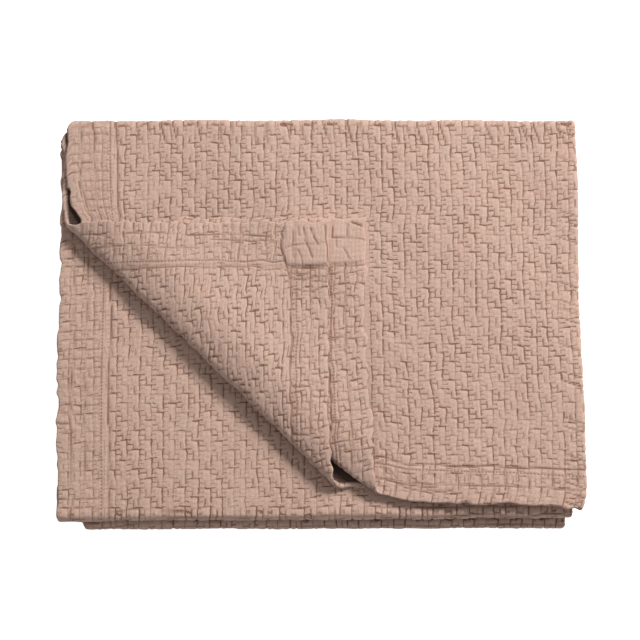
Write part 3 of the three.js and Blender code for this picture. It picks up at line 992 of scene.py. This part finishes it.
def make_lower_leaf(settings):
    """The top panel's lower layer, uppermost where the corner is turned back."""
    start = LEAF_SIDE + LEAF_GAP
    acrosses = [start] + [ACROSS - step for step in reversed(edge_steps(ACROSS - start, STEP_X))]
    alongs = upper_alongs()

    def weave_of(_face, sheet):
        return -sheet["along"] / REPEAT_Y, (ACROSS - sheet["across"]) / REPEAT_X, "lower"

    def fine_of(face, sheet):
        margin = np.minimum(sheet["side"], sheet["end"])
        if face == "outer":
            return near_line((sheet["past"] > SEEN_ROLL) | (margin < SEEN_RIM["lower"]))
        return near_line(margin < SEEN_RIM["lower_inside"])

    # Painted shade: the lower leaf's inner face turns dark a few millimetres in from its edges
    def hidden_of(face, sheet):
        if face == "outer":
            return nowhere(face, sheet)
        return smooth(np.minimum(sheet["side"], sheet["end"]), *INSIDE_PAINTED_SHADE)

    leaf = Leaf("lower_leaf", alongs, acrosses, [1], weave_of, fine_of, hidden_of)
    return leaf_object(leaf, settings)


def make_under_folds(settings):
    """The rest of the sheet, laid back and forth in the four panels under the top one."""
    acrosses = all_acrosses()
    alongs = under_alongs()

    def weave_of(_face, sheet):
        return (ACROSS - sheet["across"]) / REPEAT_X, sheet["along"] / REPEAT_Y, "under"

    def fine_of(face, sheet):
        if face == "inner":
            return near_line(np.zeros(sheet["x"].shape, bool))
        across, along, x = sheet["across"], sheet["along"], sheet["x"]
        lower = across > WIDTH + SIDE_ARC / 2
        first_panel = along < fold_centre(2)
        out = -(x + sheet["y"]) / DIAGONAL
        shown = sheet["side"] < SEEN_RIM["under"]
        shown |= lower & first_panel & ((out > SEEN_UNDER["out"]) | (x < SEEN_UNDER["x"]))
        shown |= np.abs(across - WIDTH - SIDE_ARC / 2) < SEEN_UNDER["doubling"]
        for turn in (2, 4):
            shown |= lower & (np.abs(along - fold_centre(turn)) < SEEN_UNDER["front"])
        shown |= ~lower & (np.abs(along - fold_centre(3)) < SEEN_UNDER["back"])
        return near_line(shown)

    def puckers(across, along, width):
        found = fold_puckers(across, along, [fold_centre(3)], width)
        return np.maximum(found, nose_puckers(across, along, [fold_centre(2), fold_centre(4)], width))

    def woven_of(sheet):
        along = sheet["along"]
        near = np.minimum(np.abs(along - fold_centre(2)), np.abs(along - fold_centre(4)))
        return 1 + NOSE_WEAVE["more"] * (1 - smooth(near, NOSE_WEAVE["from"], NOSE_WEAVE["to"]))

    leaf = Leaf(
        "under_folds", alongs, acrosses, [2, 3, 4], weave_of, fine_of,
        woven_of=woven_of, puckers=puckers,
    )
    return leaf_object(leaf, settings)


def feed(tree, made, inputs):
    """Sets a node's inputs, given as values or as the sockets that feed them."""
    for key, value in inputs.items():
        if isinstance(value, bpy.types.NodeSocket):
            tree.links.new(value, made.inputs[key])
        else:
            made.inputs[key].default_value = value


def add_node(tree, kind, inputs=None, **settings):
    made = tree.nodes.new(kind)
    for key, value in settings.items():
        setattr(made, key, value)
    feed(tree, made, inputs or {})
    return made


def calculate(tree, operation, *values):
    made = add_node(tree, "ShaderNodeMath", dict(enumerate(values)), operation=operation)
    return made.outputs[0]


def noise_at(tree, vector, scale, detail):
    inputs = {"Vector": vector, "Scale": scale, "Detail": detail}
    return add_node(tree, "ShaderNodeTexNoise", inputs).outputs


def vector_of(tree, x, y):
    return add_node(tree, "ShaderNodeCombineXYZ", {"X": x, "Y": y}).outputs[0]


def blended(tree, first, second, share):
    """The colour that lies a share of the way from the first to the second."""
    inputs = {"A": first, "B": second, "Factor": share}
    return add_node(tree, "ShaderNodeMix", inputs, data_type="RGBA").outputs["Result"]


def fade(tree, value, start, stop):
    """1 at and under start, 0 at and past stop, and smooth between them."""
    inputs = {"Value": value, "From Min": start, "From Max": stop, "To Min": 1.0, "To Max": 0.0}
    made = add_node(tree, "ShaderNodeMapRange", inputs, interpolation_type="SMOOTHSTEP")
    return made.outputs["Result"]


def new_group(name, inputs, outputs):
    """An empty shader node group with named number sockets."""
    group = bpy.data.node_groups.new(name, "ShaderNodeTree")
    for socket in inputs:
        group.interface.new_socket(socket, in_out="INPUT", socket_type="NodeSocketFloat")
    for socket in outputs:
        group.interface.new_socket(socket, in_out="OUTPUT", socket_type="NodeSocketFloat")
    start = group.nodes.new("NodeGroupInput")
    end = group.nodes.new("NodeGroupOutput")
    return group, start.outputs, end.inputs


def place_group(tree, group, inputs):
    return add_node(tree, "ShaderNodeGroup", inputs, node_tree=group).outputs


def crease_mark_group():
    """One short crease of the weave, wherever it comes again."""
    found = bpy.data.node_groups.get("crease mark")
    if found:
        return found
    names = ["U", "V", "X", "Y", "Half Right", "Half Down", "Width"]
    group, given, result = new_group("crease mark", names, ["Mask"])
    row_place = calculate(group, "MULTIPLY", calculate(group, "SUBTRACT", given["V"], given["Y"]), 2.0)
    row = calculate(group, "ROUND", row_place)
    down = calculate(group, "ABSOLUTE", calculate(group, "SUBTRACT", row_place, row))
    down = calculate(group, "MULTIPLY", down, REPEAT_Y / 2)
    place = calculate(group, "SUBTRACT", given["U"], given["X"])
    place = calculate(group, "MULTIPLY_ADD", row, -0.5, place)
    right = calculate(group, "SUBTRACT", place, calculate(group, "ROUND", place))
    right = calculate(group, "MULTIPLY", calculate(group, "ABSOLUTE", right), REPEAT_X)
    half_width = calculate(group, "MULTIPLY", given["Width"], 0.5)
    falls = []
    for distance, half in ((right, given["Half Right"]), (down, given["Half Down"])):
        start = calculate(group, "SUBTRACT", half, half_width)
        stop = calculate(group, "ADD", half, half_width)
        falls.append(fade(group, distance, start, stop))
    group.links.new(calculate(group, "MULTIPLY", *falls), result["Mask"])
    return group


def basket_weave_group():
    """The creases between the puffs of the basket weave."""
    found = bpy.data.node_groups.get("basket weave")
    if found:
        return found
    names = ["U", "V", "Across Share", "Down Share", "Width"]
    group, given, result = new_group("basket weave", names, ["Depth"])
    mark_group = crease_mark_group()
    depth = 0.0
    half_width = calculate(group, "MULTIPLY", given["Width"], 0.5)
    for mark in WEAVE:
        across = mark.way == "across"
        inputs = {
            "U": given["U"], "V": given["V"], "X": mark.x / REPEAT_X, "Y": mark.y / REPEAT_Y,
            "Half Right": mark.long if across else half_width,
            "Half Down": half_width if across else mark.long,
            "Width": given["Width"],
        }
        mask = place_group(group, mark_group, inputs)["Mask"]
        share = given["Across Share"] if across else given["Down Share"]
        mask = calculate(group, "MULTIPLY", mask, calculate(group, "MULTIPLY", share, mark.deep))
        depth = calculate(group, "MAXIMUM", depth, mask)
    group.links.new(depth, result["Depth"])
    return group


# Dents of the stitches: half widths beside the seam and along it, where they begin to fade and
# where they have faded
DENT = {"beside": (0.5, 1.2), "along": (0.6, 1.4), "depth": 0.7}

# Yarns of one repeat of the weave, to the right and down: soft ribs, and the yarns themselves
RIBS = (5, 4)
YARNS = (30, 24)
RIB_HEIGHT = 0.18
YARN_HEIGHT = 0.05
YARN_WANDER = 0.11

# Fine crinkles: how many a repeat along them and across them, and how they show
CRINKLE = {"long_way": 4.5, "short_way": 15.0, "width": 0.055, "depth": 0.22, "shade": 0.2}
FUZZ_SHADE = 0.35
CREASE_SHADE = 1.2


def stitch_group():
    """Small dents where the hems' stitches go in."""
    found = bpy.data.node_groups.get("hem stitches")
    if found:
        return found
    group, given, result = new_group("hem stitches", ["Side", "End", "Seam"], ["Depth"])
    off_side = calculate(group, "ABSOLUTE", calculate(group, "SUBTRACT", given["Side"], SIDE_THREAD))
    off_end = calculate(group, "ABSOLUTE", calculate(group, "SUBTRACT", given["End"], END_THREAD))
    beside = calculate(group, "MINIMUM", off_side, off_end)
    place = calculate(group, "DIVIDE", given["Seam"], STITCH)
    off = calculate(group, "SUBTRACT", place, calculate(group, "ROUND", place))
    off = calculate(group, "MULTIPLY", calculate(group, "ABSOLUTE", off), STITCH)
    beside = fade(group, beside, *DENT["beside"])
    depth = calculate(group, "MULTIPLY", beside, fade(group, off, *DENT["along"]))
    group.links.new(calculate(group, "MULTIPLY", depth, DENT["depth"]), result["Depth"])
    return group


def yarn_group():
    """Soft ribs of the yarns under the puffs, and the yarns themselves."""
    found = bpy.data.node_groups.get("ribbed yarns")
    if found:
        return found
    group, given, result = new_group("ribbed yarns", ["U", "V", "Rib", "Yarn"], ["Height", "Shade"])
    ways = (given["U"], given["V"])
    ribs = []
    for place, count in zip(ways, RIBS):
        angle = calculate(group, "MULTIPLY", place, 2 * math.pi * count)
        ribs.append(calculate(group, "COSINE", angle))
    vector = vector_of(group, given["U"], given["V"])
    share = noise_at(group, vector, 2.6, 2.0)["Fac"]
    rib = calculate(group, "MULTIPLY", ribs[0], share)
    other = calculate(group, "MULTIPLY", ribs[1], calculate(group, "SUBTRACT", 1.0, share))
    rib = calculate(group, "MULTIPLY", calculate(group, "ADD", rib, other), given["Rib"])
    yarns = []
    for place, count in zip(ways, YARNS):
        angle = calculate(group, "MULTIPLY", place, 2 * math.pi * count)
        yarns.append(calculate(group, "SINE", angle))
    yarn = calculate(group, "MULTIPLY", calculate(group, "MULTIPLY", *yarns), given["Yarn"])
    fuzz = calculate(group, "SUBTRACT", noise_at(group, vector, 34.0, 3.0)["Fac"], 0.5)
    yarn = calculate(group, "MULTIPLY_ADD", fuzz, calculate(group, "MULTIPLY", given["Yarn"], 2.0), yarn)
    group.links.new(calculate(group, "ADD", rib, yarn), result["Height"])
    group.links.new(fuzz, result["Shade"])
    return group


def crinkle_group():
    """Short fine crinkles that run along and across the cloth."""
    found = bpy.data.node_groups.get("gauze crinkles")
    if found:
        return found
    group, given, result = new_group("gauze crinkles", ["U", "V"], ["Depth"])
    depths = []
    for long_way, short_way in ((given["U"], given["V"]), (given["V"], given["U"])):
        right = calculate(group, "MULTIPLY", long_way, CRINKLE["long_way"])
        down = calculate(group, "MULTIPLY", short_way, CRINKLE["short_way"])
        share = noise_at(group, vector_of(group, right, down), 1.0, 1.0)["Fac"]
        off = calculate(group, "ABSOLUTE", calculate(group, "SUBTRACT", share, 0.5))
        depths.append(fade(group, off, 0.0, CRINKLE["width"]))
    group.links.new(calculate(group, "MAXIMUM", *depths), result["Depth"])
    return group


def wandered(tree, u, v):
    """The weave's places, moved a little from yarn to yarn."""
    noise = noise_at(tree, vector_of(tree, u, v), 8.0, 2.0)
    parts = add_node(tree, "ShaderNodeSeparateXYZ", {0: noise["Color"]}).outputs
    moved = []
    for place, part in ((u, parts[0]), (v, parts[1])):
        off = calculate(tree, "SUBTRACT", part, 0.5)
        moved.append(calculate(tree, "MULTIPLY_ADD", off, YARN_WANDER, place))
    return moved


def puffed_cotton(settings):
    """Matt puffed cotton: pale puffs, creases with painted shade in them, painted shade inside the turned
    corner, and soft ribs.
    """
    found = bpy.data.materials.get("puffed_weave")
    if found:
        return found
    material = bpy.data.materials.new("puffed_weave")
    material.use_nodes = True
    tree = material.node_tree
    shader = tree.nodes["Principled BSDF"]
    parts = {}
    for key in ("weave", "finish", "hems"):
        read = add_node(tree, "ShaderNodeAttribute", attribute_name=key, attribute_type="GEOMETRY")
        parts[key] = add_node(tree, "ShaderNodeSeparateXYZ", {0: read.outputs["Vector"]}).outputs
    u, v, across_share = parts["weave"]
    down_share, long_crease, painted_shade = parts["finish"]
    side, end, seam = parts["hems"]
    moved_u, moved_v = wandered(tree, u, v)
    inputs = {"U": moved_u, "V": moved_v, "Across Share": across_share, "Down Share": down_share}
    weave = basket_weave_group()
    narrow = place_group(tree, weave, dict(inputs, Width=NARROW))["Depth"]
    stitches = place_group(tree, stitch_group(), {"Side": side, "End": end, "Seam": seam})["Depth"]
    deepest = calculate(tree, "MAXIMUM", narrow, long_crease)
    deepest = calculate(tree, "MAXIMUM", deepest, stitches)
    crinkles = place_group(tree, crinkle_group(), {"U": u, "V": v})["Depth"]
    crinkles = calculate(tree, "MULTIPLY", crinkles, calculate(tree, "SUBTRACT", 1.0, deepest))
    inputs = {"U": u, "V": v, "Rib": RIB_HEIGHT, "Yarn": YARN_HEIGHT}
    yarns = place_group(tree, yarn_group(), inputs)
    height = calculate(tree, "MULTIPLY_ADD", crinkles, -CRINKLE["depth"], yarns["Height"])
    height = calculate(tree, "MULTIPLY_ADD", deepest, -settings.crease_depth / MM, height)
    bump = add_node(tree, "ShaderNodeBump", {"Height": height, "Distance": MM, "Strength": 1.0})
    worn = noise_at(tree, vector_of(tree, u, v), 0.55, 3.0)["Fac"]
    colour = blended(tree, (*settings.cloth_colour, 1), (*settings.worn_colour, 1), worn)
    # Painted shade in the creases, stitch dents and crinkles: the crease colour is mixed in by their depth
    # and by the fuzz
    share = calculate(tree, "MULTIPLY", deepest, CREASE_SHADE)
    share = calculate(tree, "MULTIPLY_ADD", yarns["Shade"], FUZZ_SHADE, share)
    share = calculate(tree, "MULTIPLY_ADD", crinkles, CRINKLE["shade"], share)
    share = calculate(tree, "MINIMUM", share, 1.0)
    colour = blended(tree, colour, (*settings.painted_crease_shade, 1), share)
    # Painted shade inside the turned corner: nearly black where its mask is full
    colour = blended(tree, colour, (*settings.painted_inside_shade, 1), painted_shade)
    feed(tree, shader, {
        "Base Color": colour,
        "Roughness": calculate(tree, "MULTIPLY_ADD", yarns["Shade"], 0.1, 0.92),
        "Sheen Weight": 0.25,
        "Sheen Roughness": 0.6,
        "Specular IOR Level": 0.2,
        "Normal": bump.outputs["Normal"],
    })
    return material


CAMERA_TARGET = (-0.00027, 0.00222, 0.025)
CAMERA_DISTANCE = 4.0
CAMERA_ELEVATION = math.radians(75)
FRAME_WIDTH = 640 * 1.2 * MM
SENSOR = 36.0
FLOOR_HALF = 4.0
KEY_PLACE = (2.1, 2.35, 2.7)


def make_stage(settings):
    """The camera at the photograph's angle, a pale floor and soft studio light."""
    scene = bpy.context.scene
    camera = bpy.data.cameras.new("camera")
    camera.sensor_width = SENSOR
    camera.lens = SENSOR * CAMERA_DISTANCE / FRAME_WIDTH
    holder = bpy.data.objects.new("camera", camera)
    scene.collection.objects.link(holder)
    x, y, z = CAMERA_TARGET
    forward = CAMERA_DISTANCE * math.cos(CAMERA_ELEVATION)
    up = CAMERA_DISTANCE * math.sin(CAMERA_ELEVATION)
    holder.location = (x, y - forward, z + up)
    holder.rotation_euler = (math.pi / 2 - CAMERA_ELEVATION, 0, 0)
    scene.camera = holder
    scene.view_settings.view_transform = "Standard"
    scene.view_settings.look = "None"

    mesh = bpy.data.meshes.new("floor")
    corners = [(-1, -1), (1, -1), (1, 1), (-1, 1)]
    points = [(FLOOR_HALF * right, FLOOR_HALF * back, 0) for right, back in corners]
    mesh.from_pydata(points, [], [(0, 1, 2, 3)])
    floor = bpy.data.objects.new("floor", mesh)
    scene.collection.objects.link(floor)
    pale = bpy.data.materials.new("pale_floor")
    pale.use_nodes = True
    tree = pale.node_tree
    seen = add_node(tree, "ShaderNodeLightPath").outputs["Is Camera Ray"]
    feed(tree, tree.nodes["Principled BSDF"], {
        "Base Color": (*settings.floor_colour, 1),
        "Roughness": 0.9,
        "Specular IOR Level": 0.1,
        "Emission Color": calculate(tree, "MULTIPLY", seen, settings.floor_glow),
        "Emission Strength": 1.0,
    })
    mesh.materials.append(pale)

    world = bpy.data.worlds.new("studio")
    world.use_nodes = True
    tree = world.node_tree
    feed(tree, tree.nodes["Background"], {"Color": (1, 0.985, 0.965, 1), "Strength": settings.fill})
    scene.world = world
    lamp = bpy.data.lights.new("key", "AREA")
    lamp.energy = settings.key
    lamp.size = settings.key_size
    lamp.color = (1.0, 0.975, 0.94)
    light = bpy.data.objects.new("key", lamp)
    light.location = KEY_PLACE
    aim = -light.location
    light.rotation_euler = aim.to_track_quat("-Z", "Y").to_euler()
    scene.collection.objects.link(light)
    return floor


class BedspreadSettings(bpy.types.PropertyGroup):
    relief: bpy.props.FloatProperty(
        name="Relief", description="Height of the puffs over the creases", default=1.35 * MM,
        min=0, max=0.003, unit="LENGTH", precision=5)
    crease_depth: bpy.props.FloatProperty(
        name="Crease depth", description="Depth of the narrow creases", default=0.6 * MM,
        min=0, max=0.002, unit="LENGTH", precision=5)
    cloth_colour: bpy.props.FloatVectorProperty(
        name="Cloth", description="Colour of the cotton", default=(0.665, 0.434, 0.361),
        size=3, min=0, max=1, subtype="COLOR")
    worn_colour: bpy.props.FloatVectorProperty(
        name="Worn cloth", description="Colour of the cotton where it is a little washed out",
        default=(0.685, 0.50, 0.41), size=3, min=0, max=1, subtype="COLOR")
    # Painted shade down in the creases, not a colour of the cloth
    painted_crease_shade: bpy.props.FloatVectorProperty(
        name="Creases", description="Colour down in the creases", default=(0.245, 0.122, 0.078),
        size=3, min=0, max=1, subtype="COLOR")
    # Painted shade inside the turned corner, not a colour of the cloth
    painted_inside_shade: bpy.props.FloatVectorProperty(
        name="Inside", description="Colour inside the turned corner, where no light comes",
        default=(0.06, 0.03, 0.02), size=3, min=0, max=1, subtype="COLOR")


class StageSettings(bpy.types.PropertyGroup):
    floor_colour: bpy.props.FloatVectorProperty(
        name="Floor", description="Colour of the floor", default=(0.75, 0.75, 0.75),
        size=3, min=0, max=1, subtype="COLOR")
    floor_glow: bpy.props.FloatProperty(
        name="Floor glow", description="How far the floor is lifted towards white",
        default=0.9, min=0, max=2)
    fill: bpy.props.FloatProperty(
        name="Fill light", description="Strength of the light from all round",
        default=0.34, min=0, max=3)
    key: bpy.props.FloatProperty(
        name="Key light", description="Power of the soft light at the back right", default=190,
        min=0, max=2000, unit="POWER")
    key_size: bpy.props.FloatProperty(
        name="Key size", description="Width of the soft light",
        default=1.15, min=0.05, max=4, unit="LENGTH")


class OBJECT_OT_bedspread_stage(bpy.types.Operator):
    """Add the camera, the pale floor and the studio light"""

    bl_idname = "object.bedspread_stage"
    bl_label = "Stage"

    def execute(self, context):
        make_stage(context.scene.bedspread_stage)
        return {"FINISHED"}


class OBJECT_OT_bedspread_upper_leaf(bpy.types.Operator):
    """Add the upper layer of the top panel"""

    bl_idname = "object.bedspread_upper_leaf"
    bl_label = "Upper leaf"

    def execute(self, context):
        make_upper_leaf(context.scene.bedspread)
        return {"FINISHED"}


class OBJECT_OT_bedspread_lower_leaf(bpy.types.Operator):
    """Add the lower layer of the top panel with its turned corner"""

    bl_idname = "object.bedspread_lower_leaf"
    bl_label = "Lower leaf"

    def execute(self, context):
        make_lower_leaf(context.scene.bedspread)
        return {"FINISHED"}


class OBJECT_OT_bedspread_under_folds(bpy.types.Operator):
    """Add the folded panels under the top one"""

    bl_idname = "object.bedspread_under_folds"
    bl_label = "Under folds"

    def execute(self, context):
        make_under_folds(context.scene.bedspread)
        return {"FINISHED"}


class VIEW3D_PT_bedspread(bpy.types.Panel):
    """Sizes and colours of the folded bedspread"""

    bl_label = "Folded bedspread"
    bl_space_type = "VIEW_3D"
    bl_region_type = "UI"
    bl_category = "Bedspread"

    def draw(self, context):
        for settings in (context.scene.bedspread, context.scene.bedspread_stage):
            for key in settings.bl_rna.properties.keys():
                if key not in ("rna_type", "name"):
                    self.layout.prop(settings, key)
        for operator in OPERATORS:
            self.layout.operator(operator.bl_idname)


OPERATORS = (
    OBJECT_OT_bedspread_stage,
    OBJECT_OT_bedspread_upper_leaf,
    OBJECT_OT_bedspread_lower_leaf,
    OBJECT_OT_bedspread_under_folds,
)
CLASSES = (BedspreadSettings, StageSettings, *OPERATORS, VIEW3D_PT_bedspread)


def register():
    for one in CLASSES:
        bpy.utils.register_class(one)
    bpy.types.Scene.bedspread = bpy.props.PointerProperty(type=BedspreadSettings)
    bpy.types.Scene.bedspread_stage = bpy.props.PointerProperty(type=StageSettings)


def unregister():
    del bpy.types.Scene.bedspread_stage
    del bpy.types.Scene.bedspread
    for one in reversed(CLASSES):
        bpy.utils.unregister_class(one)


def main():
    register()
    bpy.ops.object.bedspread_stage()
    bpy.ops.object.bedspread_upper_leaf()
    bpy.ops.object.bedspread_lower_leaf()
    bpy.ops.object.bedspread_under_folds()
    bpy.context.view_layer.update()


if __name__ == "__main__":
    main()
